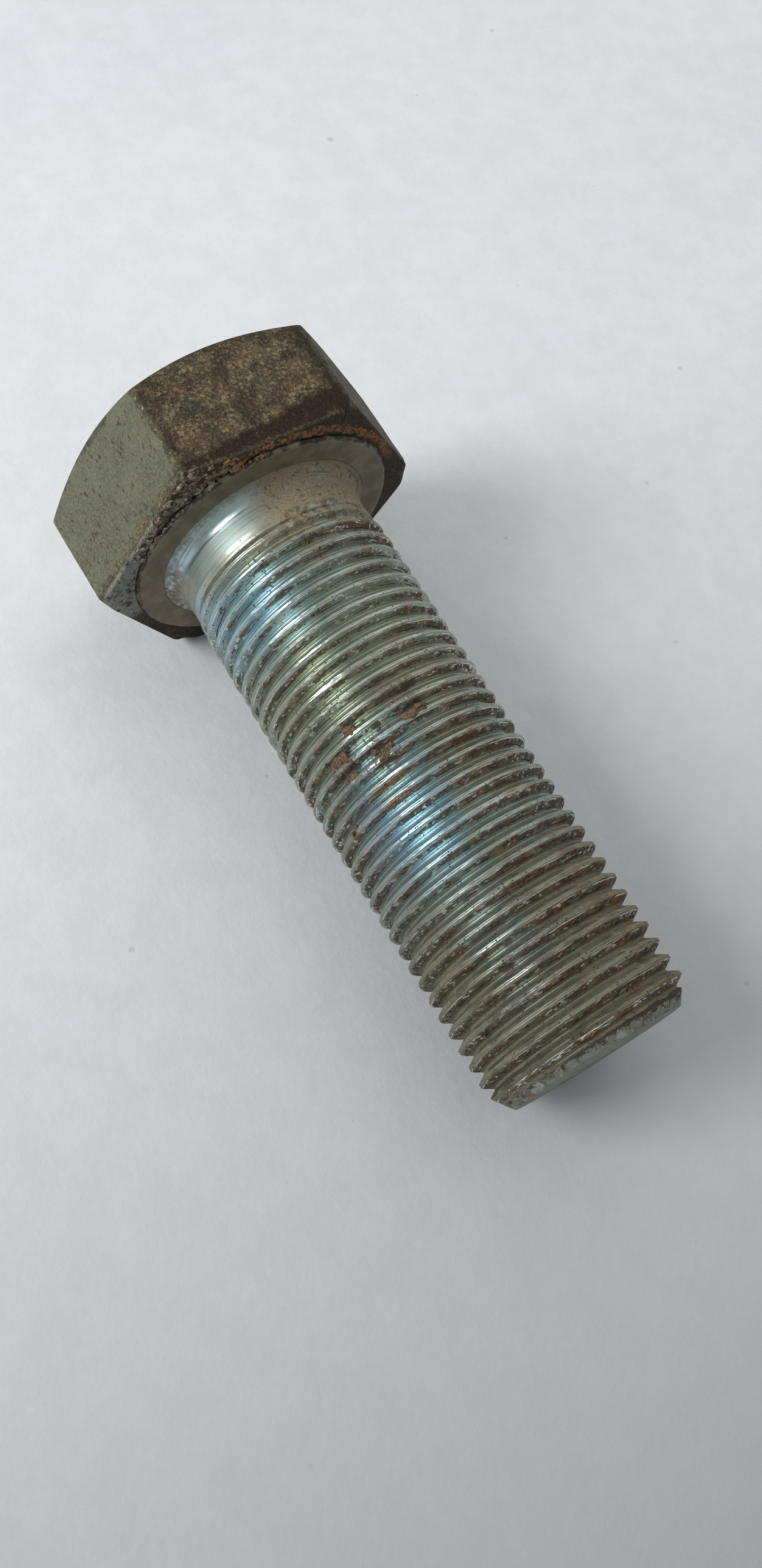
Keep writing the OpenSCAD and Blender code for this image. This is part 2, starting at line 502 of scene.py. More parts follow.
def build_crust():
    """The crust packed along the margin between the hexagon and the bearing face."""
    rng = np.random.default_rng(8)
    lumps = []
    # thick round the corner between the two visible sides
    for _ in range(260):
        turn = rng.uniform(104, 158)
        r = rng.uniform(WASHER_BASE_R + 0.1, hexagon_edge(turn) - 0.25)
        lumps.append(margin_lump(rng, turn, r, min(0.09 + rng.exponential(0.13), 0.5)))
    # some of it has crept over the rim of the bearing face
    for _ in range(110):
        turn = rng.uniform(92, 160)
        r = rng.uniform(WASHER_FACE_R - 0.05, WASHER_BASE_R + 0.1)
        lumps.append(margin_lump(rng, turn, r, 0.08 + min(rng.exponential(0.09), 0.3), UNDERSIDE + 0.30))
    # thin along the rest of the top side, and round the corner towards -Y
    for _ in range(90):
        turn = rng.uniform(40, 104)
        r = rng.uniform(WASHER_BASE_R + 0.2, min(hexagon_edge(turn) - 0.3, 18.2))
        lumps.append(margin_lump(rng, turn, r, rng.uniform(0.10, 0.24)))
    for _ in range(24):
        turn = rng.uniform(158, 205)
        r = rng.uniform(WASHER_BASE_R + 0.1, hexagon_edge(turn) - 0.3)
        lumps.append(margin_lump(rng, turn, r, rng.uniform(0.08, 0.2)))
    # a heap on the corner between the two visible sides
    for _ in range(26):
        turn = rng.normal(119.5, 2.2)
        r = hexagon_edge(turn) - rng.uniform(0.3, 1.6)
        lumps.append(margin_lump(rng, turn, r, rng.uniform(0.25, 0.5), UNDERSIDE - 0.45))
    return build_lumps("margin_crust", lumps, 71)


# --- material helpers

class Nodes:
    """Short names for building one material's node tree. Lengths are in millimetres.

    A share is a number from 0 to 1 that says how much of something is at a place.
    """

    def __init__(self, name):
        self.material = bpy.data.materials.new(name)
        self.material.use_nodes = True
        self.tree = self.material.node_tree
        self.tree.nodes.clear()
        output = self.node("OutputMaterial")
        self.bsdf = self.node("BsdfPrincipled")
        self.tree.links.new(self.bsdf.outputs[0], output.inputs["Surface"])
        place = self.node("TexCoord").outputs["Object"]
        self.mm = self.node("VectorMath", place, None, None, 1 / MM, operation="SCALE").outputs[0]
        self.x, self.y, self.z = self.node("SeparateXYZ", self.mm).outputs

    def put(self, socket, value):
        if isinstance(value, bpy.types.NodeSocket):
            self.tree.links.new(value, socket)
        else:
            socket.default_value = value

    def node(self, kind, *inputs, **settings):
        """A new node, with its inputs given in their order. An input given as None is left alone."""
        node = self.tree.nodes.new("ShaderNode" + kind)
        for name, value in settings.items():
            setattr(node, name, value)
        for socket, value in zip(node.inputs, inputs):
            if value is not None:
                self.put(socket, value)
        return node

    def math(self, operation, a, b=0.0, c=0.0, clamp=False):
        return self.node("Math", a, b, c, operation=operation, use_clamp=clamp).outputs[0]

    def chain(self, operation, values):
        out = values[0]
        for value in values[1:]:
            out = self.math(operation, out, value)
        return out

    def plus(self, *values):
        return self.chain("ADD", values)

    def times(self, *values):
        return self.chain("MULTIPLY", values)

    def most(self, *values):
        return self.chain("MAXIMUM", values)

    def minus(self, a, b):
        return self.math("SUBTRACT", a, b)

    def scaled(self, value, factor, offset):
        return self.math("MULTIPLY_ADD", value, factor, offset)

    def away(self, value, place):
        """Distance of a value from a place."""
        return self.math("ABSOLUTE", self.minus(value, place))

    def vector(self, operation, a, b=None, result="Vector"):
        return self.node("VectorMath", a, b, operation=operation).outputs[result]

    def squeezed(self, factors):
        """Coordinates multiplied by a factor along each axis. A small factor stretches what is drawn."""
        return self.vector("MULTIPLY", self.mm, factors)

    def axis_distance(self):
        return self.math("SQRT", self.plus(self.times(self.y, self.y), self.times(self.z, self.z)))

    def step(self, value, low, high):
        """0 below low and 1 above high, with a smooth change between. low may be above high."""
        ends = (high, low, 1.0, 0.0) if low > high else (low, high, 0.0, 1.0)
        return self.node("MapRange", value, *ends, interpolation_type="SMOOTHSTEP").outputs[0]

    def noise(self, size, detail=3.0, rough=0.55, where=None, lift=0.0):
        """Noise whose features are about size across, from 0 to 1. Each lift gives another pattern."""
        spot = self.mm if where is None else where
        if lift:
            spot = self.vector("ADD", spot, (lift, lift * 1.7, -lift))
        return self.node("TexNoise", spot, None, 1 / size, detail, rough).outputs["Fac"]

    def patches(self, low, high, *texture, **options):
        """Patches of noise(): none where it is below low, whole where it is above high."""
        return self.step(self.noise(*texture, **options), low, high)

    def swing(self, amount, *texture, **options):
        """noise(), made to run from -amount/2 to amount/2."""
        return self.times(self.minus(self.noise(*texture, **options), 0.5), amount)

    def dots(self, low, high, size, waver, *texture, where=None, **options):
        """Dots scattered size apart, made to come and go by noise() times waver."""
        spot = self.mm if where is None else where
        distance = self.node("TexVoronoi", spot, None, 1 / size).outputs["Distance"]
        field = self.plus(distance, self.times(self.noise(*texture, **options), waver))
        return self.step(field, low, high)

    def facing(self, degrees_round, half_width, soft):
        """1 near an angle round the axis, from +Y towards +Z, falling to 0 outside the half width."""
        a = math.radians(degrees_round)
        along = self.plus(self.times(self.y, math.cos(a)), self.times(self.z, math.sin(a)))
        cosine = self.math("DIVIDE", along, self.axis_distance())
        outer, inner = math.radians(half_width + soft), math.radians(half_width)
        return self.step(cosine, math.cos(outer), math.cos(inner))

    def region(self, toward, begin, end):
        """1 in one direction round the axis and between two places along it, each given with its fade."""
        return self.times(self.facing(*toward), self.step(self.x, *begin), self.step(self.x, *end))

    def spot(self, x, degrees_round, size, ragged):
        """1 within size of a place on the crests of the thread, given by its X and its angle."""
        a = math.radians(degrees_round)
        place = (x, MAJOR_R * math.cos(a), MAJOR_R * math.sin(a))
        distance = self.vector("DISTANCE", self.mm, place, result="Value")
        wavy = self.plus(distance, self.swing(size * 2 * ragged, size * 0.6, 4.0))
        return self.step(wavy, size, size * 0.75)

    def layer(self, base, top, share, strength=1.0):
        """The colour top laid over the colour base where share is 1, hiding it as far as strength says."""
        if strength != 1.0:
            share = self.times(share, strength)
        node = self.node("Mix", share, data_type="RGBA")
        for socket, color in ((node.inputs[6], base), (node.inputs[7], top)):
            self.put(socket, (*color, 1.0) if isinstance(color, tuple) else color)
        return node.outputs[2]

    def blend(self, share, a, b):
        """The number a where share is 0 and b where it is 1."""
        return self.node("Mix", share, None, a, b).outputs[0]

    def finish(self, color, metal, rough, height, bump, height_mm, specular=0.35):
        """The finished material, with height as bumps of height_mm."""
        node = self.node("Bump", bump, height_mm * MM)
        self.put(node.inputs["Height"], height)
        for name, value in (("Base Color", color), ("Metallic", metal), ("Roughness", rough),
                            ("Specular IOR Level", specular), ("Normal", node.outputs[0])):
            self.put(self.bsdf.inputs[name], value)
        return self.material


class HelixNodes(Nodes):
    """Nodes with places that follow the thread, across each turn and along the helix."""

    def __init__(self, name):
        super().__init__(name)
        angle = self.math("ARCTAN2", self.z, self.y)
        pitches = self.math("DIVIDE", self.minus(self.x, CREST_PHASE), PITCH)
        turn = self.minus(pitches, self.math("DIVIDE", angle, 2 * math.pi))
        shifted = self.plus(turn, 0.5)
        whole = self.math("FLOOR", shifted)
        # 0 on the middle of a crest, above 0 on its side towards the point
        self.across = self.times(self.minus(self.math("FRACT", shifted), 0.5), PITCH)
        self.along = self.times(self.plus(angle, self.times(whole, 2 * math.pi)), MAJOR_R)
        self.off_crest = self.math("ABSOLUTE", self.across)
        self.drawn = self.on_helix(4)
        self.even = self.on_helix(1)
        # where the thread is past its shallow run-out, and its dull stretch by the point
        self.grown = self.step(self.x, NECK_END + 0.8, NECK_END + 3.5)
        self.dull = self.step(self.x, 42, 57)

    def on_helix(self, stretch):
        """Coordinates that follow the thread, with features stretch times as long as wide."""
        return self.node("CombineXYZ", self.across, self.math("DIVIDE", self.along, stretch)).outputs[0]


# Colours of the surfaces, linear
ZINC = (0.33, 0.385, 0.34)
# The zinc's own blue, made brighter where the window's streak falls on it: partly a painted highlight
ZINC_BLUE_AND_HIGHLIGHT = (0.37, 0.53, 0.58)
ZINC_OLIVE = (0.27, 0.27, 0.195)
ZINC_VIOLET = (0.34, 0.38, 0.52)
ZINC_GOLD = (0.38, 0.325, 0.19)
ZINC_SAGE = (0.36, 0.375, 0.285)
ZINC_DULL = (0.225, 0.212, 0.148)
# Paler steel for the painted highlight along the light's streak near the point
ZINC_HIGHLIGHT = (0.36, 0.42, 0.4)
BRIGHT = (0.8, 0.8, 0.74)
SILVER = (0.52, 0.49, 0.41)
TAN_DIRT = (0.25, 0.195, 0.115)
BROWN_DIRT = (0.085, 0.055, 0.032)
BLACK_DIRT = (0.018, 0.015, 0.012)
GROOVE_DIRT = (0.042, 0.03, 0.02)
STAIN = (0.075, 0.056, 0.036)
RUST = (0.22, 0.08, 0.022)
ORANGE_RUST = (0.34, 0.17, 0.065)
DARK_RUST = (0.032, 0.013, 0.007)


# --- the thread's material

def clean_zinc(n):
    """Zinc with its tints and painted highlights: the zinc's blue laid brighter where the light's streak
    falls, and paler steel along that streak near the point. Returns the colour and the share of the painted
    highlight streak near the point.
    """
    patch = n.patches(0.22, 0.62, 6, 3, lift=9)
    # the zinc's blue with a painted highlight, towards the light by the neck and along the streak at
    # mid-length
    blue_and_highlight_by_head = n.times(n.facing(146, 12, 34), n.step(n.x, 22, 14))
    blue_and_highlight_mid = n.region((123, 8, 22), (28, 33), (54, 43))
    violet = n.region((150, 8, 14), (33, 38), (50, 44))
    gold = n.times(n.step(n.x, 8.5, 5.5), n.facing(125, 28, 24))
    sage = n.times(n.step(n.x, 13, 20), n.step(n.x, 35, 28))
    # painted highlight: paler steel along the light's streak near the point
    highlight_streak = n.region((118, 5, 20), (48, 53), (66, 58))
    tint = n.layer(ZINC, ZINC_OLIVE, n.patches(0.42, 0.6, 8, 4), 0.7)
    tint = n.layer(tint, ZINC_BLUE_AND_HIGHLIGHT, n.times(n.most(blue_and_highlight_by_head, blue_and_highlight_mid), patch), 0.95)
    tint = n.layer(tint, ZINC_VIOLET, violet, 0.22)
    tint = n.layer(tint, ZINC_GOLD, gold, 0.6)
    tint = n.layer(tint, ZINC_SAGE, sage, 0.6)
    tint = n.layer(tint, ZINC_DULL, n.dull, 0.8)
    return n.layer(tint, ZINC_HIGHLIGHT, n.times(highlight_streak, patch), 0.45), highlight_streak


def thread_films(n, tint):
    """Dust and stains by the point, tan dirt towards +Y and by the neck. Returns colour, film and marks."""
    hollow = n.times(n.step(n.off_crest, 0.28, 0.7), n.dull, n.facing(290, 134, 30))
    dust = n.times(hollow, n.patches(0.3, 0.62, 2.2, 5, 0.6, lift=7))
    speckle = n.patches(0.4, 0.62, 0.3, 5, 0.7, where=n.even, lift=17)
    tint = n.layer(tint, n.layer((0.15, 0.125, 0.08), (0.285, 0.243, 0.168), speckle), dust, 0.8)
    stains = n.times(n.dull, n.patches(0.52, 0.62, 1.5, 5, 0.65, where=n.on_helix(3), lift=25))
    tint = n.layer(tint, STAIN, stains, 0.65)
    by_neck = n.times(n.step(n.x, 15, 4), n.facing(52, 36, 22))
    side_film = n.times(n.facing(40, 32, 36), n.patches(0.46, 0.66, 2.6, 5, 0.6, lift=4), 0.6)
    neck_film = n.times(by_neck, n.patches(0.32, 0.55, 1.3, 5, 0.6, lift=2))
    film = n.math("ADD", side_film, neck_film, clamp=True)
    tint = n.layer(tint, TAN_DIRT, film, 0.75)
    brown = n.times(by_neck, n.patches(0.47, 0.6, 1.1, 5, 0.68, lift=33))
    tint = n.layer(tint, (0.1, 0.068, 0.038), brown, 0.7)
    return tint, film, [n.times(film, 0.7), n.times(dust, 0.8), n.times(stains, 0.7)]


def rolled_crests(n, color, film):
    """A dirty seam of uneven width on each crest, with torn, bright lips."""
    width = n.scaled(n.noise(0.9, 4, 0.6, where=n.drawn, lift=2), 0.75, -0.5)
    width = n.plus(width, n.times(n.noise(5, 3, lift=31), 0.46), n.times(film, 0.1))
    width = n.minus(width, n.times(n.step(n.x, 27, 15), 0.07))
    width = n.plus(width, n.times(n.facing(66, 36, 22), n.step(n.x, 24, 34), 0.13))
    edge = n.plus(n.off_crest, n.swing(0.3, 0.1, 4, 0.65, where=n.drawn))
    seam = n.times(n.step(n.minus(edge, width), 0.04, -0.02), n.grown)
    grain = n.noise(0.24, 5, 0.7, where=n.on_helix(2.5))
    dirt = n.layer((0.028, 0.021, 0.015), (0.125, 0.094, 0.06), n.step(grain, 0.38, 0.6))
    dirt = n.layer(dirt, TAN_DIRT, n.patches(0.48, 0.62, 0.6, 4, where=n.drawn, lift=3), 0.8)
    rusty = n.most(n.patches(0.56, 0.66, 3.2, 4, lift=12),
                   n.times(n.patches(0.47, 0.6, 2.2, 4, lift=22), n.dull))
    dirt = n.layer(dirt, RUST, n.times(rusty, n.step(grain, 0.4, 0.55)), 0.85)
    color = n.layer(color, dirt, seam, 0.88)
    zone = n.patches(0.4, 0.58, 6, 3, lift=15)
    flecks = n.times(n.patches(0.57, 0.61, 0.22, 4, 0.65, where=n.drawn, lift=8),
                     n.step(n.off_crest, 0.32, 0.16), n.blend(zone, 0.35, 1), n.grown)
    lip_place = n.scaled(n.noise(0.5, 3, where=n.drawn, lift=14), 0.2, 0.12)
    lip_away = n.math("ABSOLUTE", n.plus(n.across, lip_place))
    lip = n.times(n.step(lip_away, 0.055, 0.02),
                  n.patches(0.49, 0.55, 0.8, 4, 0.6, where=n.drawn, lift=11), n.grown, 0.9)
    flecks = n.most(flecks, lip)
    return n.layer(color, BRIGHT, flecks), seam, grain, flecks


def groove_lines(n, color):
    """A dark line past each crest, another at the foot of that flank that is partly dirt and partly a
    painted dark reflection, and dirt in the roots.
    """
    line_away = n.away(n.across, n.scaled(n.noise(0.5, 3, where=n.drawn), 0.16, 0.1))
    line = n.times(n.step(line_away, 0.045, 0.015),
                   n.patches(0.48, 0.53, 0.7, 4, 0.6, where=n.drawn, lift=5), n.grown)
    # the line at the foot of the flank: dirt with a painted dark reflection at the root's edge
    foot_dirt_and_reflection = n.times(n.step(n.away(n.across, 0.86), 0.05, 0.02),
                   n.patches(0.38, 0.52, 1.4, 3, where=n.drawn, lift=6), n.grown)
    color = n.layer(color, BLACK_DIRT, n.most(line, n.times(foot_dirt_and_reflection, 0.8)), 0.9)
    spread = n.step(n.plus(n.off_crest, n.noise(0.6, 4, where=n.drawn)), 1.15, 1.3)
    last_groove = n.times(n.step(n.x, POINT_START - 3, POINT_START - 1.6), spread)
    root_dirt = n.times(n.step(n.off_crest, 0.8, 0.9), n.patches(0.46, 0.6, 3.5, 4, lift=19),
                        n.blend(n.dull, 0.6, 1))
    root_dirt = n.most(root_dirt, last_groove)
    return n.layer(color, GROOVE_DIRT, root_dirt, 0.85), [root_dirt, line, foot_dirt_and_reflection]


def single_marks(n, color):
    """A red-brown smear, rust on one crest, smudges of dirt and painted shade round the dried mud, and the
    dark pit.
    """
    fine = n.noise(0.35, 5, 0.65, where=n.drawn, lift=4)
    by_crest = n.plus(n.off_crest, fine)
    smear = n.times(n.spot(36.1, 76, 2.4, 0.7), n.step(by_crest, 1, 0.75), n.step(fine, 0.38, 0.5))
    color = n.layer(color, (0.13, 0.058, 0.028), smear, 0.85)
    rust = n.times(n.spot(36.4, 122, 3, 0.9), n.step(by_crest, 0.85, 0.65),
                   n.patches(0.44, 0.56, 0.3, 4, 0.65, where=n.even, lift=9))
    color = n.layer(color, (0.36, 0.16, 0.055), rust, 0.9)
    # dirt and painted shade round the crumbs of dried mud
    smudge_and_shade = n.most(n.spot(32.6, 140, 2.6, 1), n.spot(33.4, 119, 2, 1), n.spot(28.5, 95, 2.6, 1.1))
    smudge_and_shade = n.times(smudge_and_shade, n.patches(0.4, 0.54, 0.5, 5, 0.65, lift=1))
    color = n.layer(color, BROWN_DIRT, smudge_and_shade, 0.7)
    pit_ring = n.spot(37.8, 158, 0.95, 0.5)
    pit_heart = n.spot(37.8, 158, 0.45, 0.4)
    color = n.layer(color, (0.2, 0.11, 0.05), pit_ring, 0.9)
    return n.layer(color, BLACK_DIRT, pit_heart), [smear, smudge_and_shade, rust, pit_ring], pit_heart


def thread_material():
    n = HelixNodes("aged_zinc_thread")
    tint, highlight_streak = clean_zinc(n)
    tint, film, film_marks = thread_films(n, tint)
    pits = n.dots(0.43, 0.36, 0.48, 0.5, 3, 2, where=n.even, lift=6)
    tint = n.layer(tint, BLACK_DIRT, pits, 0.85)
    ticks = n.patches(0.62, 0.7, 0.25, 3, 0.6, where=n.on_helix(0.3))
    tint = n.layer(tint, BROWN_DIRT, ticks, 0.25)
    color, seam, grain, flecks = rolled_crests(n, tint, film)
    color, groove_marks = groove_lines(n, color)
    color, marks, pit_heart = single_marks(n, color)

    grime = n.most(n.times(seam, n.minus(1, flecks)), *film_marks, *groove_marks, *marks, pits)
    metal = n.blend(grime, 0.93, 0.08)
    rough = n.plus(n.blend(grime, 0.36, 0.8), n.swing(0.25, 0.7, 5, 0.6))
    rough = n.plus(rough, n.times(n.dull, n.minus(1, highlight_streak), 0.28))
    rough = n.minus(rough, n.times(n.step(n.off_crest, 0.84, 0.94), 0.12))
    height = n.plus(n.times(seam, grain), n.times(n.noise(0.3, 5, 0.6), 0.15), n.times(flecks, 0.5))
    height = n.minus(height, n.times(n.most(pits, pit_heart), 0.5))
    height = n.minus(height, n.times(ticks, 0.15))
    return n.finish(color, metal, rough, height, bump=0.7, height_mm=0.07)


# --- materials of the plain round pieces

def point_material():
    n = Nodes("aged_zinc_point")
    tint = n.layer((0.25, 0.265, 0.225), (0.2, 0.2, 0.155), n.patches(0.4, 0.6, 4, 4))
    tint = n.layer(tint, (0.36, 0.365, 0.32), n.patches(0.52, 0.62, 2.4, 5, 0.65, lift=14))
    # a ragged dark border to the thread
    ragged_x = n.plus(n.x, n.times(n.noise(1.3, 6, 0.75), 3.4))
    to_thread = n.step(ragged_x, POINT_START + 2.05, POINT_START + 1.75)
    tint = n.layer(tint, (0.045, 0.034, 0.023), to_thread, 0.9)
    end_face = n.step(n.x, LENGTH - 0.06, LENGTH - 0.02)
    stain = n.times(n.patches(0.5, 0.6, 1.3, 5, 0.7, lift=3), n.blend(end_face, 1, 0.35))
    tint = n.layer(tint, (0.065, 0.05, 0.035), stain, 0.65)
    rust = n.patches(0.64, 0.7, 0.9, 4, 0.6, lift=9)
    tint = n.layer(tint, RUST, rust, 0.7)
    rubbed = n.patches(0.6, 0.68, 0.45, 3, 0.6, lift=5)
    tint = n.layer(tint, (0.45, 0.46, 0.42), rubbed, 0.6)
    pits = n.dots(0.3, 0.24, 0.7, 0.4, 2.2, 2)
    tint = n.layer(tint, BLACK_DIRT, pits, 0.8)
    grime = n.most(stain, to_thread, rust)
    rough = n.plus(n.blend(grime, 0.42, 0.75), n.swing(0.2, 0.7, 4), 0.12)
    height = n.minus(n.noise(0.35, 5, 0.65), n.times(pits, 0.4))
    return n.finish(tint, n.blend(grime, 0.55, 0.1), rough, height, bump=1, height_mm=0.14)


def neck_material():
    n = Nodes("bright_neck_with_dirt")
    tint = n.layer((0.47, 0.58, 0.57), (0.38, 0.44, 0.39), n.patches(0.4, 0.62, 4, 3))
    tint = n.layer(tint, (0.3, 0.34, 0.3), n.step(n.x, 1.7, 2.5), 0.65)
    # the zinc's blue on the fillet's far side, with a painted reflection
    blue_and_reflection = n.times(n.facing(168, 14, 14), n.step(n.x, 2.4, 1.2))
    tint = n.layer(tint, (0.42, 0.53, 0.62), blue_and_reflection, 0.6)
    # earth on the side towards +Y, low down on the side towards -Y, and in the fillet
    side_dirt = n.times(n.facing(46, 48, 22), n.patches(0.2, 0.44, 1.2, 5, 0.65))
    low_dirt = n.times(n.facing(196, 16, 22), n.patches(0.36, 0.56, 0.9, 5, 0.65, lift=4))
    in_fillet = n.step(n.x, 0.5, 0)
    fillet_dirt = n.times(in_fillet, n.patches(0.35, 0.6, 0.8, 4, lift=8), n.facing(60, 110, 20))
    dirt = n.most(side_dirt, low_dirt, n.times(fillet_dirt, 0.7))
    grain = n.noise(0.22, 5, 0.7, lift=7)
    earth = n.layer((0.22, 0.17, 0.1), (0.35, 0.275, 0.165), n.step(grain, 0.42, 0.62))
    earth = n.layer(earth, (0.1, 0.07, 0.04), n.patches(0.54, 0.66, 0.7, 5, 0.65, lift=1))
    tint = n.layer(tint, earth, dirt, 0.9)
    # lines left by turning
    lines = n.noise(0.26, 4, 0.6, where=n.squeezed((1, 0.02, 0.02)))
    tint = n.layer(tint, (0.1, 0.1, 0.08), n.step(lines, 0.6, 0.68), 0.6)
    polish = n.blend(n.step(n.x, 1.5, 2.1), 0.21, 0.46)
    rough = n.plus(n.blend(dirt, polish, 0.78), n.times(lines, 0.16))
    height = n.plus(n.times(lines, 0.6), n.times(dirt, grain))
    return n.finish(tint, n.blend(dirt, 0.95, 0.1), rough, height, bump=1, height_mm=0.06)


def washer_material():
    n = Nodes("dull_bearing_face")
    tint = n.layer((0.19, 0.165, 0.115), (0.27, 0.235, 0.16), n.patches(0.36, 0.62, 2.6, 5, 0.6))
    brown = n.times(n.facing(215, 45, 25), n.patches(0.35, 0.6, 2, 4, lift=6))
    tint = n.layer(tint, (0.17, 0.125, 0.09), brown, 0.5)
    blot = n.patches(0.55, 0.68, 1, 5, 0.65, lift=3)
    tint = n.layer(tint, (0.11, 0.082, 0.058), blot, 0.6)
    rubbed = n.patches(0.6, 0.7, 0.5, 4, 0.6, lift=10)
    tint = n.layer(tint, (0.3, 0.28, 0.23), rubbed, 0.5)
    # a thin, broken dark rim, painted shade on the raised edge of the bearing face, and a paler ring by the
    # fillet
    wavy = n.plus(n.axis_distance(), n.swing(0.5, 0.8, 4))
    rim = n.step(wavy, WASHER_FACE_R - 0.1, WASHER_FACE_R + 0.12)
    rim = n.times(rim, n.patches(0.38, 0.55, 1.6, 4, lift=16))
    tint = n.layer(tint, (0.03, 0.028, 0.027), rim, 0.85)
    inner = n.step(wavy, NECK_R + FILLET_R + 0.7, NECK_R + FILLET_R)
    tint = n.layer(tint, (0.28, 0.27, 0.22), inner, 0.4)
    rings = n.noise(0.3, 3, where=n.squeezed((0.05, 1, 1)))
    rough = n.plus(0.5, n.times(n.noise(0.9, 5, 0.6), 0.2))
    height = n.plus(rings, n.noise(0.2, 4, 0.65))
    return n.finish(tint, n.blend(blot, 0.72, 0.3), rough, height, bump=0.4, height_mm=0.05)


# --- the head's material

def olive_zinc(n):
    """Dull olive zinc of the cleaner sides. Returns the colour and the share of its dark specks."""
    zinc = n.layer((0.13, 0.13, 0.082), (0.17, 0.172, 0.112), n.patches(0.38, 0.62, 5, 5, 0.6))
    zinc = n.layer(zinc, (0.225, 0.225, 0.158), n.patches(0.44, 0.66, 0.28, 4, 0.7, lift=4))
    specks = n.dots(0.665, 0.58, 0.85, 0.95, 2, 4, where=n.squeezed((0.55, 1, 1.2)), lift=5)
    zinc = n.layer(zinc, (0.07, 0.048, 0.024), specks, 0.85)
    streaks = n.patches(0.58, 0.63, 0.55, 5, 0.7, where=n.squeezed((0.7, 1, 1)), lift=8)
    zinc = n.layer(zinc, (0.07, 0.05, 0.026), streaks, 0.8)
    faint = n.patches(0.56, 0.7, 1.8, 5, 0.65, lift=8)
    return n.layer(zinc, (0.15, 0.115, 0.065), faint, 0.55), specks


def baked_earth(n, grain, mottle):
    """Tan earth over dark brown, in grains. Returns the colour and the share of its crevices."""
    earth = n.layer((0.07, 0.051, 0.03), (0.27, 0.206, 0.106), n.step(mottle, 0.43, 0.57))
    earth = n.layer(earth, (0.045, 0.034, 0.024), n.step(grain, 0.52, 0.44), 0.45)
    earth = n.layer(earth, (0.085, 0.078, 0.052), n.patches(0.5, 0.66, 3, 5, 0.6, lift=6), 0.7)
    earth = n.layer(earth, (0.036, 0.027, 0.02), n.patches(0.54, 0.62, 0.55, 5, 0.68, lift=14), 0.7)
    crevice = n.dots(1.1, 1.28, 0.55, 1.3, 0.3, 6, 0.75, lift=27)
    earth = n.layer(earth, (0.026, 0.019, 0.013), crevice, 0.5)
    earth = n.layer(earth, (0.31, 0.24, 0.135), n.patches(0.58, 0.64, 0.3, 5, 0.7, lift=21), 0.7)
    earth = n.layer(earth, (0.115, 0.06, 0.028), n.patches(0.5, 0.66, 4, 4, lift=11), 0.35)
    return earth, crevice


def head_sides(n, zinc, earth, ragged):
    """The earth where it lies on the zinc. Returns the colour, its share and the share of the top flat."""
    on_side = n.step(n.x, HEAD_TOP + 0.05, HEAD_TOP + 0.3)
    top_flat = n.times(n.facing(90, 28.5, 1.5), on_side)
    right_flat = n.times(n.facing(30, 30, 3), on_side)
    # a place along the cleaner side, 10.4 at its edge to the earthy top flat
    towards_edge = n.plus(n.times(n.y, math.cos(math.radians(60))), n.times(n.z, math.sin(math.radians(60))))
    at_edge = n.plus(towards_edge, n.times(n.minus(ragged, 0.5), 2.6))
    spill = n.times(n.step(at_edge, 9.7, 10.2), n.facing(150, 31, 2))
    x_ragged = n.plus(n.x, n.swing(5, 1.1, 5, 0.65, lift=13))
    by_bearing = n.step(x_ragged, -2.6, -1.5)
    by_crown = n.step(x_ragged, -13.4, -14.4)
    share = n.most(top_flat, n.times(right_flat, 0.8), n.times(spill, 0.8), n.times(by_bearing, 0.75),
                   n.times(by_crown, 0.45))
    top_face = n.times(n.minus(1, on_side), n.patches(0.34, 0.62, 5, 5, 0.65, lift=29))
    share = n.most(share, n.times(top_face, 0.8))
    color = n.layer(zinc, earth, share)
    hidden_side = n.times(right_flat, n.step(n.x, HEAD_TOP + 0.2, HEAD_TOP + 1),
                          n.patches(0.62, 0.4, 1.4, 5, 0.65, lift=23))
    color = n.layer(color, (0.03, 0.024, 0.018), hidden_side, 0.75)
    # darker towards the edges of the earthy side
    far_edge = n.step(n.plus(n.y, n.times(ragged, 3)), 9.6, 11.6)
    rim = n.most(n.step(x_ragged, -13.4, -15), n.times(n.step(at_edge, 11.5, 10.3), top_flat),
                 n.times(far_edge, top_flat))
    color = n.layer(color, (0.024, 0.018, 0.013), n.times(rim, share), 0.8)
    # bright specks where the edge between the two visible sides is worn
    worn = n.times(n.facing(120, 0.3, 0.4), n.patches(0.58, 0.63, 0.4, 4, 0.65, lift=33), on_side)
    return n.layer(color, (0.42, 0.41, 0.35), worn, 0.8), share, top_flat


def bearing_margin(n, color, grain, ragged, top_flat):
    """The red-brown band by the bearing edge and what lies under it, with the share of the underside."""
    x_wavy = n.plus(n.x, n.swing(2, 1.6, 5, 0.6, lift=9))
    widen = n.times(n.minus(n.y, -9), 0.11)
    band = n.times(n.step(n.plus(x_wavy, widen), -2.6, -1.7), n.step(x_wavy, -0.7, -1.2), top_flat)
    color = n.layer(color, DARK_RUST, n.times(band, n.patches(0.29, 0.44, 0.6, 5, 0.72, lift=17)), 0.96)
    under = n.step(n.x, UNDERSIDE - 0.6, UNDERSIDE - 0.2)
    below = n.layer((0.03, 0.024, 0.018), (0.095, 0.072, 0.045), n.step(grain, 0.42, 0.6))
    pale = n.times(n.facing(168, 26, 8), n.step(ragged, 0.34, 0.5))
    below = n.layer(below, (0.31, 0.32, 0.28), pale, 0.9)
    black = n.times(n.facing(240, 22, 12), n.step(ragged, 0.36, 0.5))
    below = n.layer(below, BLACK_DIRT, black, 0.8)
    color = n.layer(color, below, under, 0.92)
    # an orange ring round the bearing face
    ring_away = n.away(n.plus(n.axis_distance(), n.times(n.minus(ragged, 0.5), 1.6)), 17.4)
    orange = n.times(under, n.step(ring_away, 0.62, 0.25), n.facing(74, 46, 16), n.step(grain, 0.34, 0.5),
                     n.patches(0.36, 0.5, 0.7, 5, 0.65, lift=19))
    return n.layer(color, ORANGE_RUST, orange, 0.9), under


